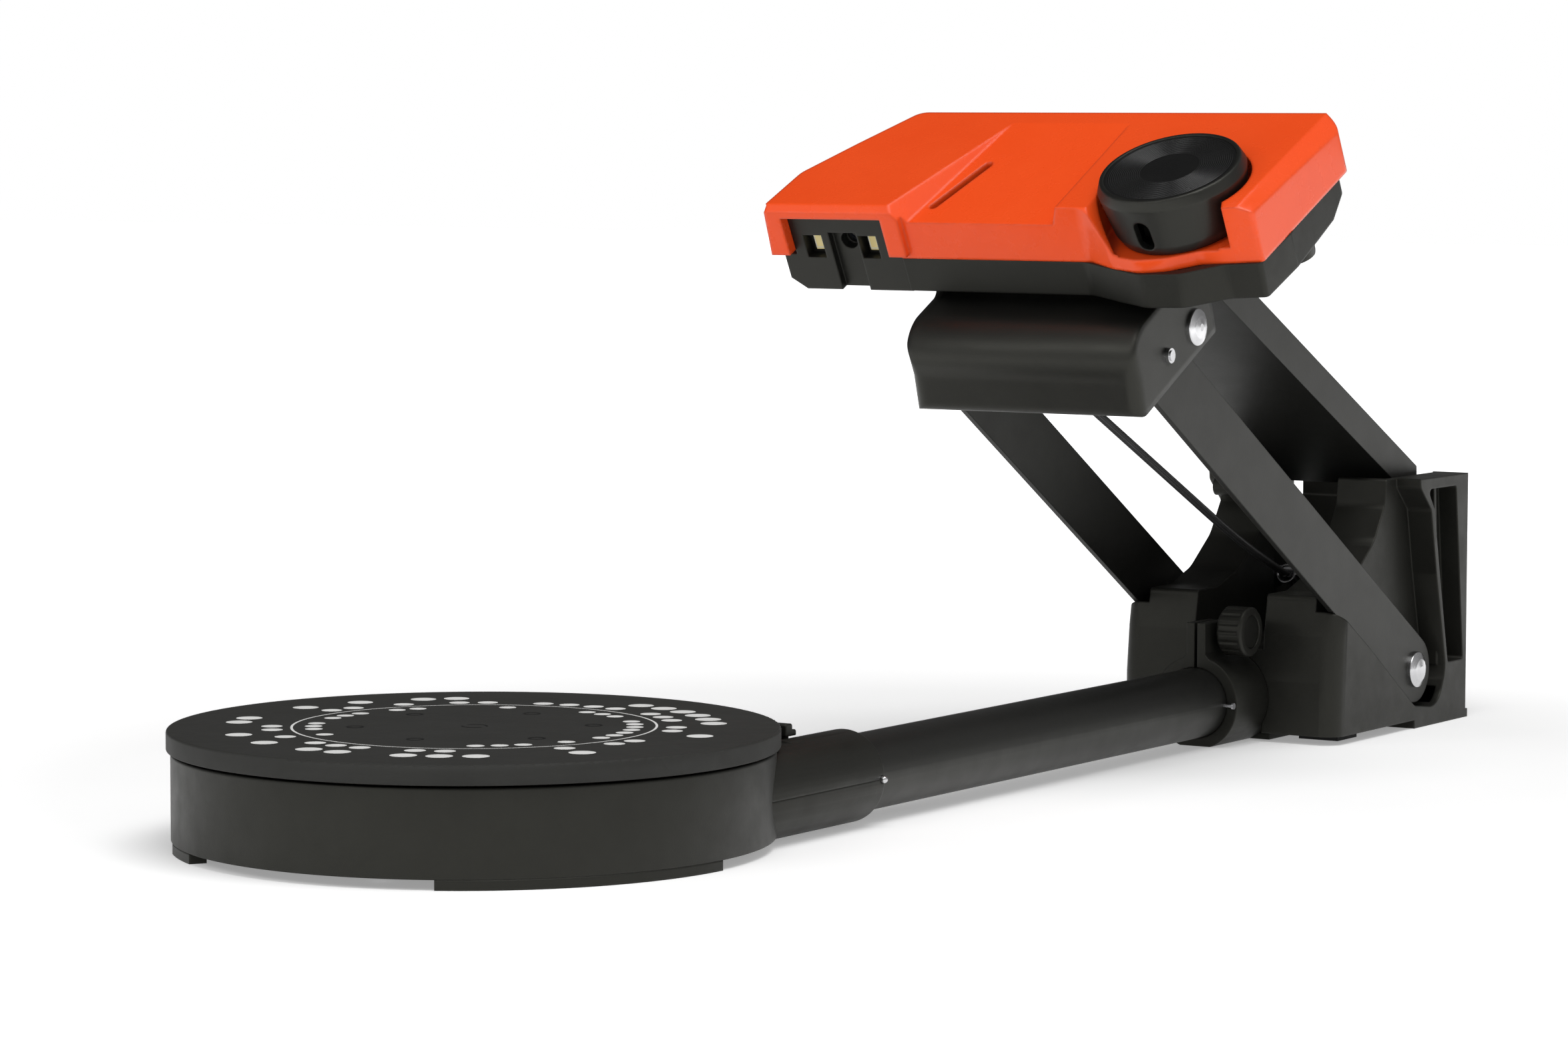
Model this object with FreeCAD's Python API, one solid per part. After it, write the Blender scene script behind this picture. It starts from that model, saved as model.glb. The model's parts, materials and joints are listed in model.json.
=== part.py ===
import FreeCAD, Part
import math
import os

# Folding desktop 3-D object scanner: a turntable on a telescoping tube, a folding
# base with a pair of flat arms and an upper link, and a pitched scanning head.
# Units are millimetres.  Front (turntable) is -Y, right is +X, up is +Z.
# Parts are drawn with the tube axis at X = 0 and the turntable centre at Y = 0;
# the whole set is centred on its bounding box when it is written.

V = FreeCAD.Vector

# ---------------------------------------------------------------- turntable
TT_X = -64.0            # turntable axis, off to one side of the tube
DISC_R = 85.0
DISC_TOP = 33.2
DISC_BOTTOM = 27.7
SHELL_R = 83.8
SHELL_TOP = 27.0
SHELL_BOTTOM = 2.8
SHELL_WALL = 2.4
WELL_R = 60.0
WELL_TOP = 19.2
WELL_BOTTOM = 17.0
HUB_R = 9.0
SPINDLE_R = 3.0
SPINDLE_TOP = 31.0
RUNNING = 0.05          # radial clearance of running fits
RING_R = 40.0           # inner radius of the platter's drive ring
WHEEL_R = 5.7
POST_ANGLE = 15.0       # first screw post round the turntable
WHEEL_OFFSET = 34.0     # motor shaft to turntable axis

# ---------------------------------------------------------------- tube
TUBE_Z = 14.0
TUBE_R = 11.27
TUBE_BORE = 9.9
TUBE_Y0 = 46.0
TUBE_Y1 = 402.0
SLEEVE_R = 13.45
SLEEVE_BORE = 11.32
DECK_SEAT = 25.6        # the sleeve's flat under the turntable deck
SLEEVE_Y0 = 31.0
SLEEVE_Y1 = 93.0
SNAP_Y = 90.2
STOP_PIN_Y = 304.5

# ---------------------------------------------------------------- base
BASE_W = 39.3           # half width
BASE_Y0 = 332.0          # front face at its top
BASE_FRONT = 328.5       # front face at its foot
BASE_Y1 = 429.0
BASE_TOP = 82.6
SLOT_W = 12.6           # half width of the middle slot
CHEEK_X = 30.3          # half width at the arm pockets
BAY_W = 28.3            # half width of the rear bay
BAY_Y0 = 386.5
COLLAR_Y0 = 306.5
COLLAR_END = 334.5
COLLAR_R = 15.0
COLLAR_BORE = 11.35
KNOB_Y = 317.0
KNOB_Z = 36.8
KNOB_R = 8.0
KNOB_X0 = 5.7
KNOB_X1 = 14.8

# ---------------------------------------------------------------- linkage
ARM_ANGLE = 31.0        # run of the flat arm bars above the horizontal
LINK_ANGLE = 27.0       # run of the upper link
ARM_BASE = (393.5, 19.0)        # pivot, Y and Z
ARM_HEAD = (229.7, 138.3)
LINK_BASE = (411.5, 47.0)
LINK_HEAD = (LINK_BASE[0] + ARM_HEAD[0] - ARM_BASE[0],
             LINK_BASE[1] + ARM_HEAD[1] - ARM_BASE[1])
ARM_HALF = 11.1         # half width of the arm bar
ARM_X0 = 34.5
ARM_X1 = 36.5
PIVOT_R = 3.0
LINK_W = 25.0           # half width of the channel
LINK_T = 1.5
LINK_NEAR = 25.0        # web face above the lower pivot, across the run
LINK_FAR = 36.4         # flange edge above the lower pivot, across the run
LINK_PIN_R = 2.5
LEAD_X = 8.4
LEAD_BASE = (353.3, 52.67)
LEAD_ANGLE = 24.7
LEAD_LENGTH = 166.4
TAIL_Y = 359.5          # where the lead turns down behind its eyelet
TAIL_END = 415.9
TAIL_Z = 33.0
LEAD_STRAND_R = 0.85

# ---------------------------------------------------------------- head
HEAD_PITCH = 28.0
HEAD_ORIGIN = V(0, 195.9, 162.5)    # lens level; local X, back, up
LENS_X = -64.0
SEAM_H = -3.5
HEAD_TOP = 15.0
HEAD_BOTTOM = -14.8
BEZEL_BOTTOM = -15.8
BEZEL_LEFT = -87.3
DIAL_X = 46.8
DIAL_BACK = 13.4
DIAL_R = 22.7
DIAL_TOP = 20.6


# ---------------------------------------------------------------- helpers
def box(x0, x1, y0, y1, z0, z1):
    return Part.makeBox(x1 - x0, y1 - y0, z1 - z0, V(x0, y0, z0))


def rod(start, direction, radius, length):
    return Part.makeCylinder(radius, length, V(*start), V(*direction))


def rod_x(x0, x1, y, z, radius):
    return rod((x0, y, z), (1, 0, 0), radius, x1 - x0)


def rod_y(y0, y1, x, z, radius):
    return rod((x, y0, z), (0, 1, 0), radius, y1 - y0)


def rod_z(z0, z1, x, y, radius):
    return rod((x, y, z0), (0, 0, 1), radius, z1 - z0)


def join(*shapes):
    first = shapes[0]
    rest = list(shapes[1:])
    if rest:
        first = first.fuse(rest)
    return first.removeSplitter()


def cut(shape, *tools):
    return shape.cut(list(tools))


def group(*shapes):
    return Part.makeCompound(list(shapes))


def mirror_x(shape):
    return shape.mirror(V(0, 0, 0), V(1, 0, 0))


def both(shape):
    return group(shape, mirror_x(shape))


def outline(points, place):
    """Closed wire through (a, b) or (a, b, radius) corners, mapped by place."""
    count = len(points)
    edges = []
    starts = []
    ends = []
    mids = []
    for i in range(count):
        corner = points[i]
        radius = corner[2] if len(corner) > 2 else 0.0
        p = V(corner[0], corner[1], 0)
        if radius <= 0:
            starts.append(p)
            ends.append(p)
            mids.append(None)
            continue
        before = points[i - 1]
        after = points[(i + 1) % count]
        to_before = (V(before[0], before[1], 0) - p).normalize()
        to_after = (V(after[0], after[1], 0) - p).normalize()
        half = to_before.getAngle(to_after) / 2.0
        reach = radius / math.tan(half)
        bisector = (to_before + to_after).normalize()
        centre = p + bisector * (radius / math.sin(half))
        starts.append(p + to_before * reach)
        ends.append(p + to_after * reach)
        mids.append(centre - bisector * radius)
    for i in range(count):
        if mids[i] is not None:
            arc = Part.Arc(place(starts[i]), place(mids[i]), place(ends[i]))
            edges.append(arc.toShape())
        a = ends[i]
        b = starts[(i + 1) % count]
        if (b - a).Length > 1e-6:
            edges.append(Part.LineSegment(place(a), place(b)).toShape())
    return Part.Wire(edges)


def prism_x(points, x0, x1):
    """Plate with a (y, z) outline between two X planes."""
    wire = outline(points, lambda p: V(x0, p.x, p.y))
    return Part.Face(wire).extrude(V(x1 - x0, 0, 0))


def prism_y(points, y0, y1):
    wire = outline(points, lambda p: V(p.x, y0, p.y))
    return Part.Face(wire).extrude(V(0, y1 - y0, 0))


def prism_z(points, z0, z1):
    wire = outline(points, lambda p: V(p.x, p.y, z0))
    return Part.Face(wire).extrude(V(0, 0, z1 - z0))


def lathe(points, x, y):
    """Solid of revolution about a vertical axis from (radius, z) points."""
    wire = outline(points, lambda p: V(x + p.x, y, p.y))
    return Part.Face(wire).revolve(V(x, y, 0), V(0, 0, 1), 360)


def lathe_x(points, y, z):
    """Solid of revolution about an X axis from (x, radius) points."""
    wire = outline(points, lambda p: V(p.x, y + p.y, z))
    return Part.Face(wire).revolve(V(0, y, z), V(1, 0, 0), 360)


def obround_z(x0, y0, x1, y1, radius, z0, z1):
    run = V(x1 - x0, y1 - y0, 0)
    side = V(-run.y, run.x, 0).normalize() * radius
    a = V(x0, y0, z0)
    b = V(x1, y1, z0)
    out = V(run.x, run.y, 0).normalize() * radius
    edges = [
        Part.LineSegment(a + side, b + side).toShape(),
        Part.Arc(b + side, b + out, b - side).toShape(),
        Part.LineSegment(b - side, a - side).toShape(),
        Part.Arc(a - side, a - out, a + side).toShape(),
    ]
    return Part.Face(Part.Wire(edges)).extrude(V(0, 0, z1 - z0))


def half_space(point, normal, size=400.0):
    """Large block lying on the side the normal points to."""
    block = Part.makeBox(size, size, size, V(-size / 2, -size / 2, 0))
    turn = FreeCAD.Rotation(V(0, 0, 1), V(*normal))
    block.Placement = FreeCAD.Placement(V(*point), turn)
    return block


def to_head(shape):
    """From head axes (x, back, up about the lens level) to the standing part."""
    moved = shape.copy()
    moved.rotate(V(0, 0, 0), V(1, 0, 0), HEAD_PITCH)
    moved.translate(HEAD_ORIGIN)
    return moved


def run_frame(base, angle):
    """Mapping from (along, across) of a leaning bar to (y, z)."""
    a = math.radians(angle)

    def place(u, v):
        y = base[0] - u * math.cos(a) + v * math.sin(a)
        z = base[1] + u * math.sin(a) + v * math.cos(a)
        return (y, z)

    return place


nodes = {}

# ================================================================ turntable
shell = lathe([
    (HUB_R - 1, 21.0), (HUB_R - 1, WELL_TOP), (WELL_R - SHELL_WALL, WELL_TOP),
    (WELL_R - SHELL_WALL, SHELL_TOP), (SHELL_R, SHELL_TOP, 0.6),
    (SHELL_R, SHELL_BOTTOM), (SHELL_R - SHELL_WALL, SHELL_BOTTOM),
    (SHELL_R - SHELL_WALL, SHELL_TOP - SHELL_WALL), (WELL_R, SHELL_TOP - SHELL_WALL),
    (WELL_R, WELL_BOTTOM), (HUB_R - 1, WELL_BOTTOM), (HUB_R - 1, 12.4),
    (4.5, 12.4), (4.5, 21.0)], TT_X, 0)
posts = []
post_bores = []
for k in range(4):
    turn = math.radians(POST_ANGLE + 90 * k)
    px = TT_X + 70.0 * math.cos(turn)
    py = 70.0 * math.sin(turn)
    posts.append(rod_z(5.0, SHELL_TOP - 1.0, px, py, 3.6))
    post_bores.append(rod_z(4.0, 16.0, px, py, 1.4))
shell = join(shell, *posts)
shaft_hole = rod_z(WELL_BOTTOM - 1, WELL_TOP + 1, TT_X + WHEEL_OFFSET, 0, 3.2)
sleeve_hole = cut(rod_y(SLEEVE_Y0, 70, 0, TUBE_Z, SLEEVE_R), box(-20, 20, 25, 80, DECK_SEAT, 40),
                  rod_z(-1, 40, TT_X, 0, WELL_R + 0.05))
nodes["turntable_shell"] = cut(shell, shaft_hole, sleeve_hole, *post_bores)

floor = rod_z(SHELL_BOTTOM, 5.0, TT_X, 0, SHELL_R - SHELL_WALL - 0.1)
pads = []
pad_seats = []
screws = []
for k in range(4):
    turn = math.radians(POST_ANGLE + 90 * k)
    px = TT_X + 70.0 * math.cos(turn)
    py = 70.0 * math.sin(turn)
    pad_seats.append(rod_z(SHELL_BOTTOM, 3.4, px * 0.86 + TT_X * 0.14, py * 0.86, 6.0))
    pads.append(rod_z(0.0, 3.4, px * 0.86 + TT_X * 0.14, py * 0.86, 5.9))
    pad_seats.append(rod_z(SHELL_BOTTOM, 4.4, px, py, 2.8))
    pad_seats.append(rod_z(4.0, 5.0, px, py, 1.5))
    screws.append(join(rod_z(3.0, 4.4, px, py, 2.5), rod_z(4.0, 14.0, px, py, 1.4)))
floor = cut(floor, sleeve_hole, *pad_seats)
nodes["turntable_floor"] = floor
nodes["turntable_screws"] = group(*screws)

# Skirt segments of the shell wall that reach the table.
ring = cut(rod_z(0, SHELL_BOTTOM, TT_X, 0, SHELL_R), rod_z(-1, 4, TT_X, 0, SHELL_R - 5.0))
segments = []
for start, sweep in ((-61.5, 59.8), (-135.0, 14.0), (120.0, 40.0)):
    a0 = math.radians(start)
    a1 = math.radians(start + sweep)
    am = math.radians(start + sweep / 2)
    wedge = prism_z([
        (TT_X, 0),
        (TT_X + 140 * math.cos(a0), 140 * math.sin(a0)),
        (TT_X + 140 * math.cos(am), 140 * math.sin(am)),
        (TT_X + 140 * math.cos(a1), 140 * math.sin(a1))], -1, SHELL_BOTTOM)
    segments.append(ring.common(wedge))
nodes["turntable_feet"] = group(*(segments + pads))

platter = lathe([
    (SPINDLE_R, 22.3), (HUB_R, 22.3), (HUB_R, 30.2), (DISC_R - 2.6, 30.2),
    (DISC_R - 2.6, DISC_BOTTOM), (DISC_R, DISC_BOTTOM, 0.4), (DISC_R, DISC_TOP, 0.7),
    (0, DISC_TOP), (0, SPINDLE_TOP), (SPINDLE_R, SPINDLE_TOP)], TT_X, 0)
ribs = []
for k in range(6):
    rib = box(HUB_R - 1, DISC_R - 2, -0.8, 0.8, 28.2, 30.3)
    rib.rotate(V(0, 0, 0), V(0, 0, 1), 60 * k)
    rib.translate(V(TT_X, 0, 0))
    ribs.append(rib)
ring_seat = cut(rod_z(27, 30.2, TT_X, 0, RING_R + 2.0), rod_z(26, 31, TT_X, 0, RING_R))
platter = cut(join(platter, *ribs), ring_seat)
nodes["platter"] = platter
nodes["platter_drive_ring"] = cut(
    rod_z(21.0, 30.2, TT_X, 0, RING_R + 2.0), rod_z(20, 31, TT_X, 0, RING_R))
nodes["platter_spindle"] = join(
    rod_z(11.0, SPINDLE_TOP, TT_X, 0, SPINDLE_R), rod_z(11.2, 12.0, TT_X, 0, 5.0))
bush = join(rod_z(12.4, 21.0, TT_X, 0, 4.5), rod_z(21.0, 22.0, TT_X, 0, 8.0))
nodes["spindle_bearing"] = cut(bush, rod_z(12, 23, TT_X, 0, SPINDLE_R + RUNNING))

MX = TT_X + WHEEL_OFFSET
motor = join(
    rod_z(5.4, 16.4, MX, 0, 11.5),
    box(MX - 15, MX + 15, -8, 8, 16.0, WELL_BOTTOM),
    rod_z(16.4, 19.0, MX, 0, 3.1))
nodes["drive_motor"] = cut(motor, rod_z(8.0, 20.0, MX, 0, 1.5 + RUNNING))
nodes["drive_wheel_hub"] = join(
    rod_z(9.0, 26.2, MX, 0, 1.5), rod_z(20.4, 25.8, MX, 0, 3.2))
nodes["drive_wheel_tyre"] = cut(
    rod_z(20.8, 25.4, MX, 0, WHEEL_R), rod_z(20, 26, MX, 0, 3.2))
nodes["turntable_board"] = join(
    box(TT_X - 48, TT_X - 10, -16, 16, 6.6, 8.2),
    box(TT_X - 44, TT_X - 36, -12, -4, 8.0, 11.5),
    box(TT_X - 30, TT_X - 22, 2, 12, 8.0, 10.0),
    box(TT_X - 46, TT_X - 42, 12, 14.5, 5.0, 6.8),
    box(TT_X - 16, TT_X - 12, -14.5, -12, 5.0, 6.8))

# Sleeve halves round the tube, parted at the tube's mid height.
sleeve = lathe_x([(0, SLEEVE_BORE), (0, SLEEVE_R),
                  (SLEEVE_Y1 - SLEEVE_Y0, SLEEVE_R, 1.9),
                  (SLEEVE_Y1 - SLEEVE_Y0, SLEEVE_BORE)], 0, 0)
sleeve.rotate(V(0, 0, 0), V(0, 0, 1), 90)
sleeve.translate(V(0, SLEEVE_Y0, TUBE_Z))
snap_hole = rod_x(8, 16, SNAP_Y, TUBE_Z, 1.15)
latch_slot = box(-7.6, -5.4, 67.2, 75.4, 22.0, 30.0)
sleeve = cut(sleeve, snap_hole, rod_z(-1, 40, TT_X, 0, WELL_R + 0.1))
nodes["socket_upper"] = cut(
    sleeve, box(-20, 20, 25, 100, 0, TUBE_Z + 0.03),
    rod_z(DECK_SEAT, 40, TT_X, 0, SHELL_R),
    box(-20, 20, 25, 57.5, SHELL_TOP, 40), latch_slot)
nodes["socket_lower"] = cut(sleeve, box(-20, 20, 25, 100, TUBE_Z - 0.03, 30))
latch = join(
    prism_x([(66.0, 27.4), (71.4, 27.4), (71.4, 29.2, 0.7), (69.4, 29.2),
             (69.4, 31.0, 0.8), (66.0, 31.0, 0.5)], -9.4, -3.6),
    box(-7.3, -5.7, 67.5, 70.8, 24.2, 28.0))
nodes["socket_latch"] = latch

# ================================================================ tube
bar = rod_y(TUBE_Y0, TUBE_Y1, 0, TUBE_Z, TUBE_R)
hollow = rod_y(TUBE_Y0 - 1, TUBE_Y1 + 1, 0, TUBE_Z, TUBE_BORE)
pin_hole = rod_x(8, 12, STOP_PIN_Y, TUBE_Z, 0.5)
nodes["extension_tube"] = cut(bar, hollow, snap_hole, pin_hole)
nodes["tube_plugs"] = group(
    rod_y(TUBE_Y0, TUBE_Y0 + 4, 0, TUBE_Z, TUBE_BORE),
    rod_y(TUBE_Y1 - 4, TUBE_Y1, 0, TUBE_Z, TUBE_BORE))
nodes["stop_pin"] = join(
    rod_x(9.0, 14.6, STOP_PIN_Y, TUBE_Z, 0.5), rod_x(14.4, 15.1, STOP_PIN_Y, TUBE_Z, 1.0))
nodes["snap_button"] = join(
    rod_x(8.8, 14.1, SNAP_Y, TUBE_Z, 1.05),
    Part.makeSphere(1.05, V(14.1, SNAP_Y, TUBE_Z)),
    rod_x(8.2, 9.2, SNAP_Y, TUBE_Z, 2.2))
nodes["snap_spring"] = join(
    box(4.9, 5.4, 76.4, 92.4, TUBE_Z - 2, TUBE_Z + 2),
    box(-9.6, -9.1, 76.4, 92.4, TUBE_Z - 2, TUBE_Z + 2),
    box(-9.6, 5.4, 75.9, 76.4, TUBE_Z - 2, TUBE_Z + 2))

# ================================================================ base
arm_uv = run_frame(ARM_BASE, ARM_ANGLE)
diag = arm_uv(40.0, -ARM_HALF - 0.3)
diag_far = arm_uv(110.0, -ARM_HALF - 0.3)
profile = [
    (BASE_FRONT, SHELL_BOTTOM), (BASE_Y1, SHELL_BOTTOM), (BASE_Y1, BASE_TOP, 1.5),
    (BAY_Y0 - 3.4, BASE_TOP, 1.0), (382.0, 74.0, 6.0), (374.0, 62.5, 12.0),
    (360.0, 52.4, 14.0), (346.0, 47.8, 12.0), (BASE_Y0, 47.8, 1.2),
    (BASE_Y0, 46.0), (330.0, 35.0), (BASE_FRONT, 20.0)]
body = prism_x(profile, -BASE_W, BASE_W)


def base_plan(front, z):
    """Plan outline of the base at height z, its front corners rounded."""
    corners = [(-BASE_W, BASE_Y1, 2.0), (-BASE_W, front, 6.0), (BASE_W, front, 6.0),
               (BASE_W, BASE_Y1, 2.0)]
    return outline(corners, lambda p: V(p.x, p.y, z))


plan = join(
    Part.Face(base_plan(BASE_FRONT, 0)).extrude(V(0, 0, 20)),
    Part.makeLoft([base_plan(BASE_FRONT, 20), base_plan(330.0, 35)], True, True),
    Part.makeLoft([base_plan(330.0, 35), base_plan(BASE_Y0, 46)], True, True),
    Part.Face(base_plan(BASE_Y0, 46)).extrude(V(0, 0, 44)))
body = body.common(plan)
rear_foot = box(-BASE_W, BASE_W, 387.5, BASE_Y1, 0.0, SHELL_BOTTOM)

pocket = prism_x([
    diag_far, diag, (387.5, 7.6, 5.0), (405.5, 5.6, 9.0), (411.6, 18.0, 12.0),
    (403.6, 50.0, 20.0), (398.9, 72.0, 3.0), (390.7, 79.5, 2.0), (388.5, 95.0),
    (290.0, 95.0)], CHEEK_X, BASE_W + 5)
window = prism_x([
    (412.9, 20.0, 1.0), (424.9, 20.0, 1.0), (418.2, 78.9, 1.0), (395.9, 78.9, 1.5),
    (401.2, 72.0, 3.0), (405.9, 50.0, 20.0)], 32.4, BASE_W + 5)
rib = prism_x([(410.4, 19.0), (412.0, 19.0), (408.4, 80.0), (406.8, 80.0)], 31.5, 36.4)
slot = box(-SLOT_W, SLOT_W, BASE_FRONT - 5, BAY_Y0 + 1, 30.0, 95.0)
bay = box(-BAY_W, BAY_W, BAY_Y0, BASE_Y1 - 2.5, 30.0, 95.0)
tunnel = rod_y(300, 407, 0, TUBE_Z, TUBE_R + 0.6)
tunnel_low = box(-12.6, 12.6, BASE_FRONT - 6, BASE_Y1 - 3, -1.0, 12.0)
notch = join(
    box(-26.6, -22.4, BASE_Y1 - 5, BASE_Y1 + 5, 51.0, 95.0),
    box(22.4, 26.6, BASE_Y1 - 5, BASE_Y1 + 5, 51.0, 95.0),
    box(-26.6, 26.6, BASE_Y1 - 5, BASE_Y1 + 5, 81.0, 95.0),
    box(-22.5, 22.5, BASE_Y1 - 5, BASE_Y1 - 1.6, 73.0, 95.0))
cheek_room = prism_x([
    (331.4, 1.0), (331.4, 20.0), (334.6, 44.0), (346.5, 44.0), (356.0, 47.0), (366.0, 53.0), (374.0, 60.0),
    (378.5, 68.0), (384.0, 68.0), (384.0, 1.0)], 15.0, 27.9)
arm_room = prism_x([
    (338.0, 1.0), (338.0, 35.0), (378.0, 10.9), (378.0, 1.0)], 27.8, 36.9)
back_room = box(15.0, 21.0, 388.5, 426.5, 1.0, 27.6)
side_room = box(21.0, 36.9, 404.0, 426.5, 1.0, 12.0)
collar_seat = rod_y(BASE_FRONT - 1, COLLAR_END, 0, TUBE_Z, COLLAR_R)
rivet_bore = rod_x(22.0, 31.0, ARM_BASE[0], ARM_BASE[1], PIVOT_R + RUNNING)
axle_bore = rod_x(BAY_W - 1, 31.6, LINK_BASE[0], LINK_BASE[1], LINK_PIN_R)
tools = []
for part in (cheek_room, arm_room, back_room, side_room, rivet_bore, axle_bore):
    tools.append(part)
    tools.append(mirror_x(part))
body = cut(body, pocket, mirror_x(pocket), window, mirror_x(window))
body = join(body, rib, mirror_x(rib), rear_foot)
body = cut(body, slot, bay, tunnel, tunnel_low, notch, collar_seat, *tools)
inlet_bore = rod_y(BASE_Y1 - 4, BASE_Y1 + 1, -16.0, 40.0, 5.6)
usb_bore = box(9.4, 22.6, BASE_Y1 - 4, BASE_Y1 + 1, 34.0, 46.0)
nodes["base_housing"] = cut(body, inlet_bore, usb_bore)

tray = box(-12.5, 12.5, COLLAR_END, 425.9, 0.0, 2.2)
side_plate = box(15.1, 27.8, 331.5, 383.9, SHELL_BOTTOM, 4.4)
tray = cut(tray, rod_y(300, 430, 0, TUBE_Z, TUBE_R + 0.5))
nodes["base_floor"] = group(tray, side_plate, mirror_x(side_plate))
foot_pads = []
for side in (-1, 1):
    foot_pads.append(box(side * 26 - 7, side * 26 + 7, 343, 357, 0.0, SHELL_BOTTOM))
nodes["base_feet"] = group(*foot_pads)

collar = rod_y(COLLAR_Y0, COLLAR_END - 0.1, 0, TUBE_Z, COLLAR_R)
ears = prism_y([(-3.3, 24.0), (3.3, 24.0), (3.3, 39.8, 0.5), (-3.3, 39.8, 0.5)],
               COLLAR_Y0, 321.0)
fillets = prism_y([(-7.5, 25.0), (-3.2, 30.0), (3.2, 30.0), (7.5, 25.0)],
                  COLLAR_Y0, 321.0)
collar = join(collar, ears, fillets)
hexagon = prism_x([(KNOB_Y + 2.8 * math.cos(math.radians(60 * k)),
                    KNOB_Z + 2.8 * math.sin(math.radians(60 * k)))
                   for k in range(6)], -3.3, -1.3)
nodes["clamp_collar"] = cut(
    collar, rod_y(300, 340, 0, TUBE_Z, COLLAR_BORE),
    box(-0.55, 0.55, 300, 340, TUBE_Z + 5, 45), box(-20, 20, 300, 340, -5, 0.0),
    rod_x(-5, 5, KNOB_Y, KNOB_Z, 1.6), hexagon)
nodes["clamp_screw"] = rod_x(-3.3, KNOB_X0 + 3.4, KNOB_Y, KNOB_Z, 1.5)
nodes["clamp_nut"] = cut(hexagon, rod_x(-8, 0, KNOB_Y, KNOB_Z, 1.5 + RUNNING))
knob = join(
    lathe_x([(KNOB_X0, 0), (KNOB_X0, KNOB_R - 0.9), (KNOB_X0 + 0.9, KNOB_R),
             (KNOB_X1 - 0.6, KNOB_R), (KNOB_X1, KNOB_R - 0.6), (KNOB_X1, 0)],
            KNOB_Y, KNOB_Z),
    rod_x(3.6, KNOB_X0 + 0.5, KNOB_Y, KNOB_Z, 3.4))
flutes = []
for k in range(16):
    turn = math.radians(22.5 * k)
    flutes.append(rod_x(KNOB_X0 + 0.8, KNOB_X1 - 1.4, KNOB_Y + (KNOB_R + 0.35) * math.cos(turn),
                        KNOB_Z + (KNOB_R + 0.35) * math.sin(turn), 0.8))
screw_seat = rod_x(3.0, KNOB_X0 + 3.4, KNOB_Y, KNOB_Z, 1.5)
cap_seat = rod_x(KNOB_X1 - 0.9, KNOB_X1 + 1, KNOB_Y, KNOB_Z, 5.4)
nodes["clamp_knob"] = cut(knob, screw_seat, cap_seat, *flutes)
nodes["knob_cap"] = rod_x(KNOB_X1 - 0.9, KNOB_X1 - 0.35, KNOB_Y, KNOB_Z, 5.3)

nodes["base_board"] = join(
    box(-22.0, 22.0, 419.5, 421.1, 30.0, 45.0),
    box(-22.0, -6.0, 412.5, 419.6, 31.0, 37.0),
    box(4.5, 11.5, 416.0, 419.6, 30.6, 37.0))
inlet = cut(rod_y(421.1, BASE_Y1 - 0.2, -16.0, 40.0, 5.5),
            rod_y(423.5, BASE_Y1 + 1, -16.0, 40.0, 3.1))
nodes["power_inlet"] = join(inlet, rod_y(423.0, BASE_Y1 - 1.0, -16.0, 40.0, 0.9))
nodes["usb_socket"] = join(
    cut(box(9.5, 22.5, 421.1, BASE_Y1 - 0.2, 34.1, 45.9),
        box(11.0, 21.0, 423.5, BASE_Y1 + 1, 35.6, 44.4)),
    box(13.5, 18.5, 423.0, BASE_Y1 - 1.6, 38.2, 41.6))

tilt = math.radians(LEAD_ANGLE)
eye = Part.makeTorus(3.0, 0.45, V(LEAD_X + 0.4, LEAD_BASE[0], LEAD_BASE[1]),
                     V(0, -math.cos(tilt), math.sin(tilt)))
nodes["lead_eyelet"] = join(
    eye, rod_x(LEAD_X + 3.3, SLOT_W, LEAD_BASE[0], LEAD_BASE[1], 0.45))
nodes["lead_grommet"] = cut(
    box(LEAD_X - 3.2, SLOT_W, TAIL_Y - 3.5, TAIL_Y + 3.5, 40.0, 46.0),
    box(LEAD_X - 1.8, LEAD_X + 1.8, TAIL_Y - 1.0, TAIL_Y + 1.0, 38, 48))
nodes["rest_bumper"] = rod_x(-CHEEK_X, -CHEEK_X + 9.0, 378.6, 78.2, 3.0)
nodes["link_base_axle"] = rod_x(-31.5, 31.5, LINK_BASE[0], LINK_BASE[1], LINK_PIN_R)
nodes["base_housing"] = cut(
    nodes["base_housing"], nodes["rest_bumper"],
    rod_x(-33, 33, LINK_BASE[0], LINK_BASE[1], LINK_PIN_R))

# ================================================================ arms
ear = arm_uv(201.8, 17.9)
P_HEAD = ARM_HEAD


def arm_plate():
    bar_points = [
        arm_uv(-ARM_HALF, -ARM_HALF) + (ARM_HALF - 0.01,),
        arm_uv(211.0, -ARM_HALF) + (4.0,),
        arm_uv(210.6, 12.0) + (3.0,),
        arm_uv(209.6, 24.0) + (5.0,),
        arm_uv(203.0, 26.2) + (5.0,),
        arm_uv(194.2, 22.0) + (5.0,),
        arm_uv(196.4, ARM_HALF) + (1.0,),
        arm_uv(-ARM_HALF, ARM_HALF) + (ARM_HALF - 0.01,)]
    return prism_x(bar_points, ARM_X0, ARM_X1)


plate = arm_plate()
holes = [rod_x(30, 40, ARM_BASE[0], ARM_BASE[1], PIVOT_R),
         rod_x(30, 40, P_HEAD[0], P_HEAD[1], PIVOT_R)]
plate = cut(plate, *holes)
nodes["arm_right"] = plate
nodes["arm_left"] = mirror_x(plate)


def domed_head(x0, thickness, radius, y, z):
    rise = lathe_x([(x0, 0), (x0, radius), (x0 + thickness * 0.45, radius, 0.5),
                    (x0 + thickness * 0.85, radius * 0.62, 1.5),
                    (x0 + thickness, radius * 0.2), (x0 + thickness, 0)], y, z)
    return rise


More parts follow.
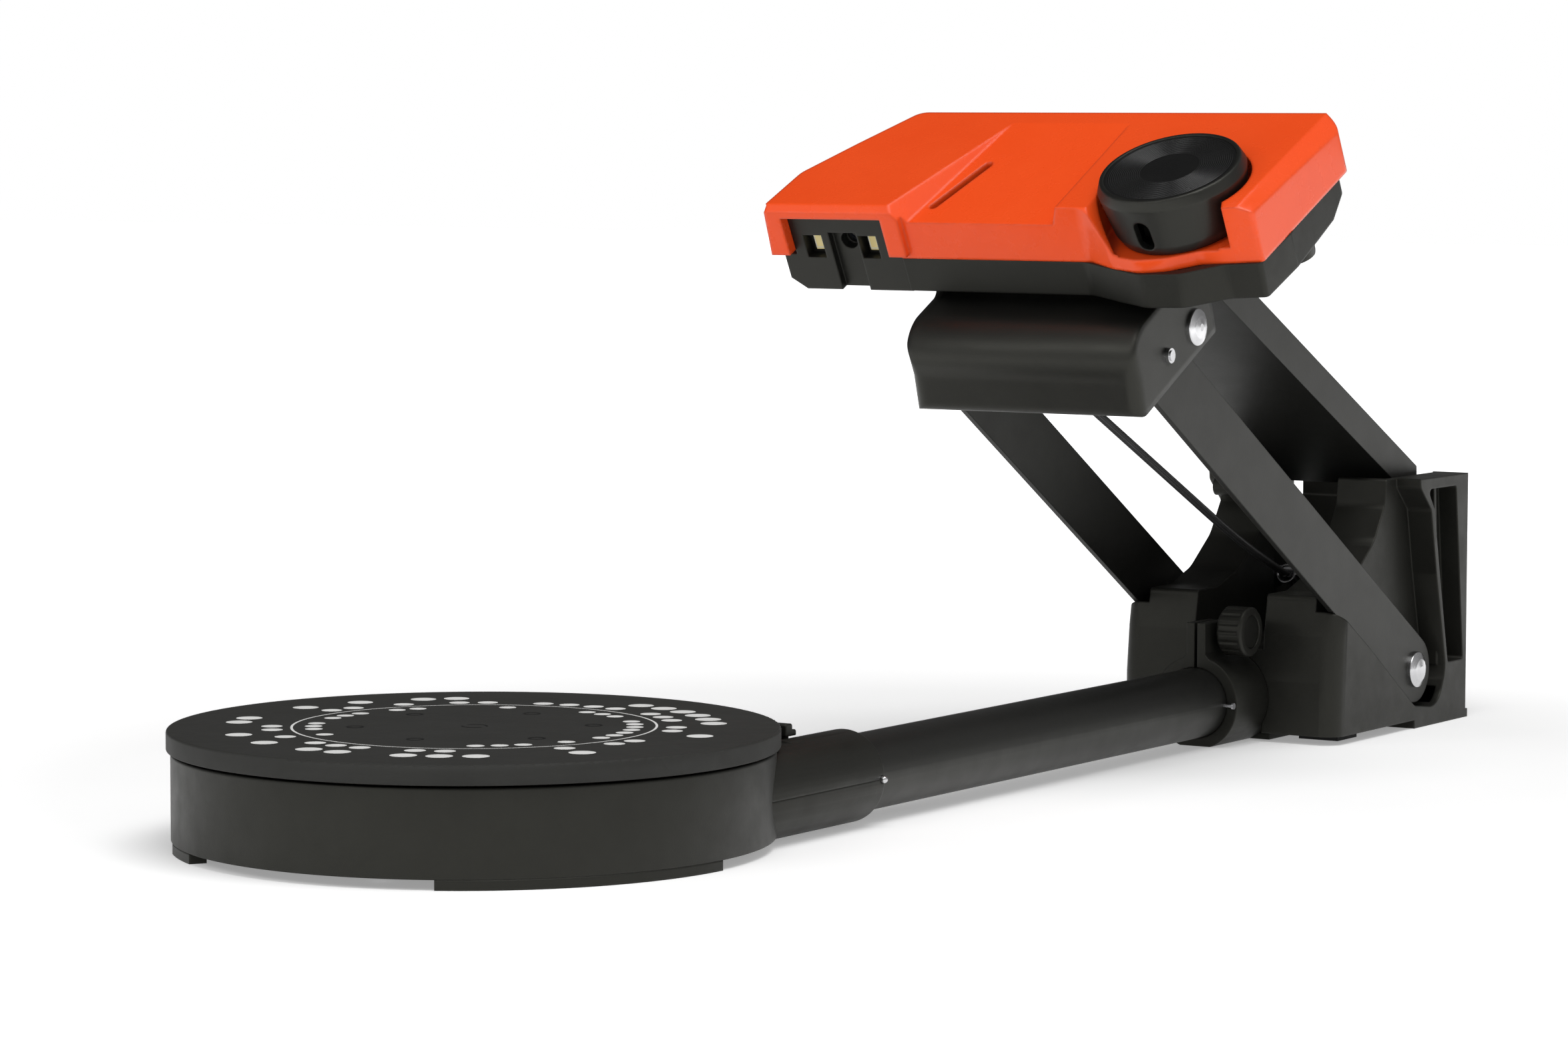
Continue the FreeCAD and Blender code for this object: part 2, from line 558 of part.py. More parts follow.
rivet = join(
    rod_x(22.6, ARM_X1 + 0.2, ARM_BASE[0], ARM_BASE[1], PIVOT_R),
    domed_head(ARM_X1, 2.6, 6.0, ARM_BASE[0], ARM_BASE[1]))
nodes["base_rivets"] = both(rivet)
nodes["arm_spacers"] = both(cut(
    rod_x(CHEEK_X + 0.3, ARM_X0, ARM_BASE[0], ARM_BASE[1], 8.0),
    rod_x(CHEEK_X, ARM_X0 + 1, ARM_BASE[0], ARM_BASE[1], PIVOT_R)))
nodes["bracket_axle"] = join(
    rod_x(-39.6, 39.6, P_HEAD[0], P_HEAD[1], PIVOT_R),
    domed_head(39.3, 2.2, 5.7, P_HEAD[0], P_HEAD[1]),
    mirror_x(domed_head(39.3, 2.2, 5.7, P_HEAD[0], P_HEAD[1])))

# ================================================================ upper link
link_uv = run_frame(LINK_BASE, LINK_ANGLE)
end_s = (LINK_BASE[0] - LINK_HEAD[0]) * math.cos(math.radians(LINK_ANGLE)) \
    + (LINK_HEAD[1] - LINK_BASE[1]) * math.sin(math.radians(LINK_ANGLE))
flange_points = [
    link_uv(-5.0, -5.0) + (4.9,),
    link_uv(6.0, -5.0) + (4.0,),
    link_uv(22.0, LINK_NEAR) + (3.0,),
    link_uv(end_s - 8.0, LINK_NEAR) + (2.0,),
    link_uv(end_s - 2.0, LINK_FAR - 9.0) + (3.0,),
    link_uv(end_s + 4.5, LINK_FAR - 9.0) + (4.4,),
    link_uv(end_s + 4.5, LINK_FAR) + (4.4,),
    link_uv(12.0, LINK_FAR) + (1.0,),
    link_uv(-5.0, 6.0) + (6.0,)]
web_points = [
    link_uv(22.0, LINK_NEAR), link_uv(end_s - 10.0, LINK_NEAR),
    link_uv(end_s - 10.0, LINK_NEAR + LINK_T), link_uv(22.0, LINK_NEAR + LINK_T)]
flange = prism_x(flange_points, LINK_W - LINK_T, LINK_W)
link = join(flange, mirror_x(flange), prism_x(web_points, -LINK_W, LINK_W))
nodes["upper_link"] = cut(
    link, rod_x(-30, 30, LINK_BASE[0], LINK_BASE[1], LINK_PIN_R + RUNNING),
    rod_x(-30, 30, LINK_HEAD[0], LINK_HEAD[1], LINK_PIN_R + 0.4))

# ================================================================ lead
la = math.radians(LEAD_ANGLE)
run = V(0, -math.cos(la), math.sin(la))
up = V(0, math.sin(la), math.cos(la))
foot = V(LEAD_X, LEAD_BASE[0], LEAD_BASE[1])
SAG_R = 420.0
straight = 116.4
bend = LEAD_LENGTH - straight
turn = bend / SAG_R


def lead_point(s):
    """Centre line: a shallow arc up from the base, then straight to the head."""
    if s <= bend:
        a = s / SAG_R
        t = turn - a
        along = SAG_R * (math.sin(turn) - math.sin(t))
        drop = SAG_R * (math.cos(turn) - math.cos(t))
        return (along, drop)
    first = lead_point(bend)
    return (first[0] + (s - bend), first[1])


def lead_place(side, s):
    along, drop = lead_point(s)
    lift = drop - lead_point(bend)[1] * s / LEAD_LENGTH
    return foot + V(side, 0, 0) + run * along + up * lift


strands = []
for side in (-LEAD_STRAND_R, LEAD_STRAND_R):
    p0 = lead_place(side, 0)
    p1 = lead_place(side, bend / 2)
    p2 = lead_place(side, bend)
    arc = Part.Arc(p0, p1, p2)
    tangent = arc.tangent(arc.LastParameter)[0]
    p3 = p2 + tangent * straight
    path = Part.Wire([arc.toShape(), Part.LineSegment(p2, p3).toShape()])
    start = arc.tangent(arc.FirstParameter)[0]
    section = Part.Wire([Part.makeCircle(LEAD_STRAND_R, p0, start)])
    strands.append(path.makePipeShell([section], True, True))
nodes["head_lead"] = join(*strands)


def tail_strand(side):
    """Back down from the eyelet, then level along the floor to the board."""
    x = LEAD_X + side
    lean = math.radians(90.0 - LEAD_ANGLE)
    a = V(x, LEAD_BASE[0] + 1.3 * math.cos(tilt), LEAD_BASE[1] - 1.3 * math.sin(tilt))
    bend_r = (TAIL_Y - a.y) / (1.0 - math.sin(tilt))
    bend_r = min(bend_r, 6.0)
    reach = (TAIL_Y - a.y - bend_r * (1.0 - math.sin(tilt))) / math.cos(tilt)
    b = a + V(0, math.cos(tilt), -math.sin(tilt)) * reach
    hub = b - V(0, math.sin(tilt), math.cos(tilt)) * bend_r
    c = hub + V(0, bend_r, 0)
    mid = hub + V(0, math.sin(tilt + lean / 2), math.cos(tilt + lean / 2)) * bend_r
    d = V(x, TAIL_Y, TAIL_Z + 4.0)
    e = V(x, TAIL_Y + 4.0, TAIL_Z)
    corner_hub = V(x, TAIL_Y + 4.0, TAIL_Z + 4.0)
    corner_mid = corner_hub + V(0, -1, -1).normalize() * 4.0
    f = V(x, TAIL_END, TAIL_Z)
    edges = [
        Part.LineSegment(a, b).toShape(),
        Part.Arc(b, mid, c).toShape(),
        Part.LineSegment(c, d).toShape(),
        Part.Arc(d, corner_mid, e).toShape(),
        Part.LineSegment(e, f).toShape(),
    ]
    ring_wire = Part.Wire([Part.makeCircle(LEAD_STRAND_R, a, b - a)])
    length = sum(edge.Length for edge in edges)
    strand = Part.Wire(edges).makePipeShell([ring_wire], True, True)
    expected = math.pi * LEAD_STRAND_R ** 2 * length
    print("lead tail strand", round(strand.Volume, 1), "expected", round(expected, 1))
    return strand


nodes["lead_tail"] = group(tail_strand(-LEAD_STRAND_R), tail_strand(LEAD_STRAND_R))

# ================================================================ head (local axes)
BX = 39.3
BR_F = 22.0
BR_B = -29.5
BR_TOP = 19.7


BR_LOW = 24.6           # the front stands further forward at its foot
BR_FOOT = -45.0
BR_BEND = -33.6


def side_plate_points():
    top = HEAD_BOTTOM - 0.1
    return [(-BR_F, BR_FOOT, 3.0), (-BR_B, BR_FOOT, 1.0), (-BR_B + 1.4, -35.8, 1.0),
            (-BR_B - 1.0, top), (8.0, top), (3.0, -BR_TOP, 4.0), (-BR_F, -BR_TOP, 13.5)]


def bracket_plan(front, h):
    corners = [(-BX, -BR_B), (-BX, -front, 4.5), (BX, -front, 4.5), (BX, -BR_B)]
    return outline(corners, lambda p: V(p.x, p.y, h))


outer = prism_x([(-BR_LOW, BR_FOOT, 3.0), (-BR_B, BR_FOOT, 1.0), (-BR_B, -BR_TOP),
                 (-BR_F, -BR_TOP, 13.5), (-BR_F - 0.1, BR_BEND)], -BX, BX)
plan_round = join(
    Part.Face(bracket_plan(BR_F + 0.1, BR_BEND)).extrude(V(0, 0, 40)),
    Part.makeLoft([bracket_plan(BR_F + 0.1, BR_BEND), bracket_plan(BR_LOW, -46.0)], True, True))
outer = outer.common(plan_round)
inner = prism_x([(-BR_LOW + 2.2, -43.2, 1.5), (-BR_B - 2.0, -43.2), (-BR_B - 2.0, -21.2),
                 (-BR_F + 2.2, -21.2, 11.5), (-BR_F + 2.1, BR_BEND + 0.1)], -36.9, 36.9)
end_plate = cut(prism_x(side_plate_points(), 36.9, BX),
                half_space((BX - 4.5, -BR_F, -30), (1, -1, 0)))
arm_gate = box(33.6, 36.9, -14.5, 40.0, -60.0, -43.0)
arm_gate_rear = box(33.6, 36.9, 20.0, 40.0, -60.0, -20.7)
lead_gate = box(LEAD_X - 3.2, LEAD_X + 3.2, -15.0, 4.0, -60.0, -43.0)
neck = box(-22.0, 26.0, 8.0, 26.0, -BR_TOP - 0.1, HEAD_BOTTOM)
bracket = join(outer, end_plate, mirror_x(end_plate))
bracket = cut(bracket, inner, arm_gate, mirror_x(arm_gate), arm_gate_rear,
              mirror_x(arm_gate_rear), lead_gate)
bracket = join(bracket, neck)
bracket = to_head(bracket)
axle_clear = rod_x(-50, 50, P_HEAD[0], P_HEAD[1], PIVOT_R + RUNNING)
PIN_Y, PIN_Z = 212.0, 130.4
bracket_pin_hole = rod_x(-50, 50, PIN_Y, PIN_Z, 1.6)
nodes["bracket_housing"] = cut(bracket, axle_clear, bracket_pin_hole)
pin = join(rod_x(36.9, 41.0, PIN_Y, PIN_Z, 1.6), rod_x(39.3, 40.6, PIN_Y, PIN_Z, 2.3))
nodes["bracket_pins"] = both(pin)

FRONT = [(-84.9, -0.5), (-44.0, -0.5)]
SHELL_PLAN = [
    (-43.9, -2.0), (20.0, -2.3, 8.0), (31.0, -6.0, 8.0), (41.0, -9.0, 10.0), (54.0, -8.3, 10.0),
    (66.0, -2.2, 8.0), (77.8, -1.0, 1.5), (79.4, 17.5, 3.0), (78.0, 57.5, 3.0), (-60.0, 57.5, 5.0), (-66.0, 50.0, 8.0),
    (-75.0, 37.0, 12.0), (-85.2, 18.0, 8.0), (-86.8, 6.0), (-43.9, 6.0)]


def inset(points, amount, cx=0.0, cy=26.0):
    moved = []
    for point in points:
        x, y = point[0], point[1]
        nx = x - amount if x > cx else x + amount
        ny = y - amount if y > cy else y + amount
        moved.append((nx, ny) + tuple(point[2:]))
    return moved


BEZEL_BACK = 18.8
solid = prism_z(SHELL_PLAN, HEAD_BOTTOM, SEAM_H)
slope = half_space((0, 46.0, HEAD_BOTTOM), (0, 0.42, -1))
lower = cut(solid, slope)
room = prism_z(inset(SHELL_PLAN, 2.2), HEAD_BOTTOM + 2.2, SEAM_H + 1)
room = cut(room, half_space((0, 46.0, HEAD_BOTTOM + 2.4), (0, 0.42, -1)),
           box(-90, -42, -10, 8, -20, 0))
lower = cut(lower, room)
bezel_seat = box(-90, -43.9, -10, BEZEL_BACK + 0.1, -20, 0)
SCREW_SPOTS = ((-52.0, 42.0), (-36.0, 8.0), (62.0, 43.0), (29.0, 42.0))
posts = []
bores = []
screws = []
bosses = []
for sx, sy in SCREW_SPOTS:
    posts.append(rod_z(HEAD_BOTTOM + 1, SEAM_H - 0.1, sx, sy, 3.4))
    bores.append(rod_z(HEAD_BOTTOM - 1, 4.0, sx, sy, 1.5))
    bores.append(rod_z(HEAD_BOTTOM - 1, HEAD_BOTTOM + 1.8, sx, sy, 2.8))
    screws.append(join(rod_z(HEAD_BOTTOM + 0.4, HEAD_BOTTOM + 1.8, sx, sy, 2.5),
                       rod_z(HEAD_BOTTOM + 1.5, 2.0, sx, sy, 1.4)))
    bosses.append(rod_z(SEAM_H, HEAD_TOP, sx, sy, 3.4))
lobe = rod_z(HEAD_BOTTOM - 5.0, HEAD_BOTTOM + 0.5, 69.5, 33.0, 7.0)
lower = cut(join(lower, lobe, *posts), bezel_seat, *bores)
lower = cut(lower, slope)
LUG_Y = (LINK_HEAD[0] - HEAD_ORIGIN.y) * math.cos(math.radians(HEAD_PITCH)) \
    + (LINK_HEAD[1] - HEAD_ORIGIN.z) * math.sin(math.radians(HEAD_PITCH))
LUG_H = -(LINK_HEAD[0] - HEAD_ORIGIN.y) * math.sin(math.radians(HEAD_PITCH)) \
    + (LINK_HEAD[1] - HEAD_ORIGIN.z) * math.cos(math.radians(HEAD_PITCH))
lug = prism_x([(LUG_Y - 4.5, LUG_H - 4.5, 4.4), (LUG_Y + 4.5, LUG_H - 4.5, 4.4),
               (LUG_Y + 4.5, -9.6), (LUG_Y - 4.5, -9.6)], 19.0, 22.6)
lug = cut(lug, rod_x(0, 40, LUG_Y, LUG_H, LINK_PIN_R))
lower = join(lower, lug, mirror_x(lug))
nodes["head_lower_shell"] = to_head(lower)
nodes["link_head_axle"] = to_head(join(
    rod_x(-26.8, 26.8, LUG_Y, LUG_H, LINK_PIN_R),
    rod_x(25.5, 26.8, LUG_Y, LUG_H, 3.6), rod_x(-26.8, -25.5, LUG_Y, LUG_H, 3.6)))

# Orange cover.


def pod_section(left, h):
    points = [V(left, -4.0, h), V(-41.0, -4.0, h), V(-40.0, 6.0, h), V(left + 1.8, 6.0, h)]
    return Part.makePolygon(points + [points[0]])


POD = Part.makeLoft([pod_section(-89.6, -2.1), pod_section(-88.0, HEAD_TOP)], True, True)
COVER_PLAN = [
    (-43.9, -2.0), (22.0, -2.1, 8.0), (31.0, -5.9, 8.0), (41.0, -8.2, 10.0), (49.5, -6.8, 8.0),
    (59.0, -2.2, 8.0), (78.4, 0.0, 1.5), (81.2, 58.0, 3.0), (-63.9, 58.0, 5.0), (-68.5, 50.0, 8.0), (-76.0, 37.0, 12.0),
    (-86.2, 18.0, 8.0), (-88.0, -2.0)]
cover = join(prism_z(COVER_PLAN, SEAM_H, HEAD_TOP), POD)
cover = cut(cover, box(-95, -43.9, -8, 6.0, SEAM_H - 1, -2.1))
facet = half_space((0, 51.0, HEAD_TOP), (0, -6.0, 53.0))
left_wall = half_space((-41.5, -2.0, 12.0), (46.0, -15.0, 46.0 * 0.9))
right_wall = half_space((14.0, 0, HEAD_TOP), (-1, 0, 0.35))
sink = facet.common(left_wall).common(right_wall).common(box(-60, 40, -20, 80, 0, 40))


def side_bevel(drop):
    """Wedge off the right top edge, wider and lower toward the back."""
    sections = []
    for y, top_x, side_x, side_h in ((-12.0, 72.7, 78.8, 13.1), (62.0, 77.5, 81.3, 9.5)):
        run_x = side_x - top_x
        run_h = side_h - HEAD_TOP
        corners = [(top_x - run_x, HEAD_TOP - run_h), (side_x + run_x, side_h + run_h),
                   (side_x + run_x + 12, 40), (top_x - run_x, 40)]
        points = [V(cx, y, ch - drop) for cx, ch in corners]
        sections.append(Part.makePolygon(points + [points[0]]))
    return Part.makeLoft(sections, True, True)


bevel_r = side_bevel(0.0)
bevel_lip = half_space((0, -4.0, 12.9), (0, -1.0, 1.0))
well = join(rod_z(0.9, 30, DIAL_X, DIAL_BACK, DIAL_R + 0.9), rod_z(-5, 2, DIAL_X, DIAL_BACK, 13.0))
scoop = prism_z([(32.5, -14.0), (32.5, 4.0, 2.0), (66.0, 7.0, 4.0), (69.5, -2.0, 3.0),
                 (70.5, -14.0)], 1.6, 30)
ramp = half_space((24.5, 0, HEAD_TOP), (1, 0, 0.6)).common(box(20, 46, -14, 5, 1.6, 30))
cover = cut(cover, sink, bevel_r, bevel_lip, well, scoop, ramp)
hull_room = prism_z(inset(COVER_PLAN[1:-1] + [(-86.0, 2.0), (-44.0, 2.0)], 2.4), SEAM_H - 1, HEAD_TOP - 2.2)
room_cap = half_space((0, 51.0, HEAD_TOP - 2.4), (0, -6.0, 53.0))
hull_room = cut(hull_room, room_cap.common(box(-46, 40, -20, 80, -10, 40)),
                rod_z(-20, 30, DIAL_X, DIAL_BACK, DIAL_R + 3.2),
                box(20, 70, -20, 6, -20, 40), side_bevel(2.8),
                box(-90, -42.0, -10, BEZEL_BACK + 0.4, -20, 40), *bosses)
cover = cut(cover, hull_room)
screw_bores = [rod_z(SEAM_H - 1, 3.0, sx, sy, 1.4) for sx, sy in SCREW_SPOTS]
opening = box(-82.9, -47.2, -10, BEZEL_BACK + 0.7, SEAM_H - 3, 10.8)
slot_cut = obround_z(-33.8, 6.8, -25.1, 28.8, 1.45, -5, 30)
cover = cut(cover, opening, slot_cut, *screw_bores)
cover_solids = sorted(cover.Solids, key=lambda s: s.Volume)
cover = cover_solids[-1]
nodes["head_cover"] = to_head(cover)

# Camera bezel and what stands behind it.
bezel = prism_z([(BEZEL_LEFT, -0.5), (-44.0, -0.5), (-44.0, BEZEL_BACK),
                 (BEZEL_LEFT + 2.0, BEZEL_BACK), (BEZEL_LEFT, 6.0)], BEZEL_BOTTOM, SEAM_H)
bezel_top = box(-82.8, -47.3, -0.5, BEZEL_BACK, SEAM_H - 0.5, 10.7)
bezel = join(bezel, bezel_top)
corner = half_space((BEZEL_LEFT, 0, -12.0), (-3.8, 0, -5.0))
bezel = cut(
    bezel, corner,
    box(-69.5, -59.5, -2.0, 2.0, BEZEL_BOTTOM - 1, 4.2),
    rod_y(-2.0, 12.0, LENS_X, 0.3, 2.9),
    rod_y(5.0, 17.0, LENS_X, 0.3, 4.2),
    box(-82.9, -70.2, 3.4, 17.0, -12.0, 8.0),
    box(-59.0, -46.0, 3.4, 17.0, -12.0, 8.0),
    box(-82.9, -46.0, 14.0, 17.0, -12.0, 8.0))
bezel = cut(bezel, box(-78.8, -72.2, -2.0, 3.6, -4.6, 3.2),
            box(-58.9, -52.6, -2.0, 3.6, -4.6, 3.2))
nodes["camera_bezel"] = to_head(bezel)
nodes["lens_barrel"] = to_head(cut(
    rod_y(5.0, 14.0, LENS_X, 0.3, 4.1), rod_y(4.0, 12.5, LENS_X, 0.3, 2.2)))
nodes["lens_glass"] = to_head(rod_y(6.0, 7.4, LENS_X, 0.3, 2.2))
nodes["camera_boards"] = to_head(group(
    box(-81.8, -47.6, 14.1, 15.7, -11.5, 7.8),
    box(-80.6, -70.4, 3.5, 4.7, -6.0, 6.0), box(-58.8, -49.0, 3.5, 4.7, -6.0, 6.0)))
nodes["led_packages"] = to_head(group(
    box(-77.1, -74.1, 2.7, 3.5, -3.35, 2.35), box(-57.5, -54.5, 2.7, 3.5, -3.35, 2.35)))
nodes["head_board"] = to_head(join(
    box(-40.0, 18.0, 12.0, 50.0, -7.6, -6.0),
    box(-34.0, -20.0, 22.0, 34.0, -6.1, -3.6),
    box(-8.0, 4.0, 24.0, 36.0, -6.1, -4.6),
    rod_z(HEAD_BOTTOM + 2.2, -7.5, -30.0, 18.0, 1.6),
    rod_z(HEAD_BOTTOM + 2.2, -7.5, 10.0, 40.0, 1.6)))
nodes["head_screws"] = to_head(group(*screws))

# Laser dial.
dial_ring = cut(join(rod_z(-6.0, -1.0, DIAL_X, DIAL_BACK, 12.5), rod_z(HEAD_BOTTOM + 2.2, -1.0, DIAL_X, DIAL_BACK, 9.5)),
                rod_z(-13, 0, DIAL_X, DIAL_BACK, 7.0 + RUNNING))
nodes["dial_ring"] = to_head(dial_ring)
dial = lathe([(0, 1.2), (18.8, 1.2, 0.6), (20.4, 4.4, 3.0), (DIAL_R, 17.4),
              (DIAL_R - 1.3, DIAL_TOP, 0.7), (0, DIAL_TOP)], DIAL_X, DIAL_BACK)
dial_room = lathe([(0, 3.4), (16.8, 3.4), (18.0, 5.4), (19.6, 16.6), (0, 16.6)],
                  DIAL_X, DIAL_BACK)
stub = rod_z(-9.0, 1.4, DIAL_X, DIAL_BACK, 7.0)
flange = rod_z(-0.6, 1.4, DIAL_X, DIAL_BACK, 11.0)
cap_room = rod_z(DIAL_TOP - 1.0, DIAL_TOP + 1, DIAL_X, DIAL_BACK, 20.1)
eye_slot = obround_z(-2.4, 0, 2.4, 0, 2.7, 0, 12.0)
eye_slot.rotate(V(0, 0, 0), V(1, 0, 0), 90)
eye_slot.rotate(V(0, 0, 0), V(0, 1, 0), 90)
eye_slot.translate(V(DIAL_X - 1.6, DIAL_BACK - 12.5, 8.6))
dial = cut(join(dial, stub, flange), dial_room, cap_room, eye_slot)
nodes["dial_body"] = to_head(dial)
nodes["dial_cap"] = to_head(rod_z(DIAL_TOP - 1.0, DIAL_TOP - 0.3, DIAL_X, DIAL_BACK, 20.0))
nodes["laser_module"] = to_head(join(
    box(DIAL_X - 6.5, DIAL_X + 3.5, DIAL_BACK - 12.0, DIAL_BACK + 6.0, 3.4, 15.0)))
lens_z = ((DIAL_X - 1.6, 10.8), (DIAL_X - 1.6, 6.4))
nodes["laser_lenses"] = to_head(group(*[
    rod_y(DIAL_BACK - 14.0, DIAL_BACK - 12.0, lx, lz, 1.4) for lx, lz in lens_z]))

# ================================================================ write
low = V(1e9, 1e9, 1e9)
high = V(-1e9, -1e9, -1e9)
for shape in nodes.values():
    bb = shape.optimalBoundingBox(False, False)
    low = V(min(low.x, bb.XMin), min(low.y, bb.YMin), min(low.z, bb.ZMin))
    high = V(max(high.x, bb.XMax), max(high.y, bb.YMax), max(high.z, bb.ZMax))
shift = V(round(-(low.x + high.x) / 2.0, 1), round(-(low.y + high.y) / 2.0, 1), 0)
os.makedirs("parts", exist_ok=True)
for name, shape in nodes.items():
    shape.translate(shift)
    shape.exportStep("parts/" + name + ".step")
    if not shape.isValid():
        print("not valid:", name)
    print(name, len(shape.Solids), round(shape.Volume, 1))
print("nodes", len(nodes))
print("shift", shift)
print("size", high - low)
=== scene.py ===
import json
import math

import bpy
from mathutils import Matrix, Vector


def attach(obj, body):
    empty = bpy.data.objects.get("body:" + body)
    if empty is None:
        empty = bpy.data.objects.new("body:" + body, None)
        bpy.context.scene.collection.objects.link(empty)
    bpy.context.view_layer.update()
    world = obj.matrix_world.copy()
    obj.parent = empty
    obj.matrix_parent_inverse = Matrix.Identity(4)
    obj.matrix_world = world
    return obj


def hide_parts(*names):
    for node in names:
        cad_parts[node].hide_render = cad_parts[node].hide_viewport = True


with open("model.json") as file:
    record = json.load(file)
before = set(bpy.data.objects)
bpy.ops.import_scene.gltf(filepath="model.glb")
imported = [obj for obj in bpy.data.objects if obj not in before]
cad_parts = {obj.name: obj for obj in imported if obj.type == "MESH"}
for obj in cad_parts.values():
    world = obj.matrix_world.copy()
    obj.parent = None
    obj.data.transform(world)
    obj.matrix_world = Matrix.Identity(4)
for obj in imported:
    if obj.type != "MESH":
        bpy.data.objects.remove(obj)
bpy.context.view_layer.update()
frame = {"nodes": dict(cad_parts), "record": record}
NODES = frame["nodes"]
MM = 0.001
# The row frame's origin in the drawing axes of the part: tube axis X, turntable centre Y.
ROW_X = 34.0
ROW_Y = -172.0


def at(x, y, z):
    """A drawing position in millimetres as a row position in metres."""
    return Vector(((x + ROW_X) * MM, (y + ROW_Y) * MM, z * MM))


# ---------------------------------------------------------------- materials
def srgb(r, g, b):
    out = []
    for value in (r, g, b):
        c = value / 255.0
        out.append(c / 12.92 if c <= 0.04045 else ((c + 0.055) / 1.055) ** 2.4)
    return (out[0], out[1], out[2], 1.0)


class Finish:
    """A Principled material with noise-driven colour, roughness and bump."""

    def __init__(self, name, colour, roughness, metallic=0.0):
        self.mat = bpy.data.materials.new(name)
        self.mat.use_nodes = True
        self.tree = self.mat.node_tree
        self.shader = self.tree.nodes["Principled BSDF"]
        self.colour = colour
        self.shader.inputs["Base Color"].default_value = colour
        self.shader.inputs["Roughness"].default_value = roughness
        self.shader.inputs["Metallic"].default_value = metallic
        self.coords = self.tree.nodes.new("ShaderNodeTexCoord")
        self.bump = None

    def set(self, **values):
        for key, value in values.items():
            self.shader.inputs[key.replace("_", " ")].default_value = value
        return self

    def noise(self, scale, detail=4.0):
        node = self.tree.nodes.new("ShaderNodeTexNoise")
        node.inputs["Scale"].default_value = scale
        node.inputs["Detail"].default_value = detail
        node.inputs["Roughness"].default_value = 0.6
        self.tree.links.new(self.coords.outputs["Object"], node.inputs["Vector"])
        return node.outputs["Fac"]

    def ramp(self, source, low, high, a=0.35, b=0.65):
        node = self.tree.nodes.new("ShaderNodeMapRange")
        node.inputs["From Min"].default_value = a
        node.inputs["From Max"].default_value = b
        node.inputs["To Min"].default_value = low
        node.inputs["To Max"].default_value = high
        self.tree.links.new(source, node.inputs["Value"])
        return node.outputs["Result"]

    def vary_roughness(self, low, high, scale):
        result = self.ramp(self.noise(scale), low, high)
        self.tree.links.new(result, self.shader.inputs["Roughness"])
        return self

    def vary_colour(self, other, scale, amount):
        node = self.tree.nodes.new("ShaderNodeMix")
        node.data_type = "RGBA"
        node.inputs["A"].default_value = self.colour
        node.inputs["B"].default_value = other
        result = self.ramp(self.noise(scale), 0.0, amount)
        self.tree.links.new(result, node.inputs["Factor"])
        self.tree.links.new(node.outputs["Result"], self.shader.inputs["Base Color"])
        return self

    def add_bump(self, height, strength, distance):
        node = self.tree.nodes.new("ShaderNodeBump")
        node.inputs["Strength"].default_value = strength
        node.inputs["Distance"].default_value = distance
        self.tree.links.new(height, node.inputs["Height"])
        if self.bump:
            self.tree.links.new(self.bump, node.inputs["Normal"])
        self.bump = node.outputs["Normal"]
        self.tree.links.new(self.bump, self.shader.inputs["Normal"])
        self.tree.links.new(self.bump, self.shader.inputs["Coat Normal"])
        return self

    def round_edges(self, radius):
        """Catches the light on edges as a small moulded radius does."""
        node = self.tree.nodes.new("ShaderNodeBevel")
        node.samples = 6
        node.inputs["Radius"].default_value = radius
        self.bump = node.outputs["Normal"]
        return self

    def grain(self, scale, strength, distance=0.0001):
        return self.add_bump(self.noise(scale, detail=3.0), strength, distance)


def moulded(name, colour, other, low, high, grain_scale=2600.0, strength=0.25, edge=0.0,
            **extra):
    """Moulded or coated surface: slight colour drift, uneven gloss and a fine grain."""
    finish = Finish(name, colour, 0.5)
    finish.vary_colour(other, 30.0, 0.8)
    finish.vary_roughness(low, high, 90.0)
    if edge:
        finish.round_edges(edge)
    finish.grain(grain_scale, strength)
    return finish.set(**extra)


def metal(name, colour, low, high):
    finish = Finish(name, colour, 0.2, 1.0)
    finish.vary_roughness(low, high, 400.0)
    finish.grain(1200.0, 0.08, 0.00005)
    return finish


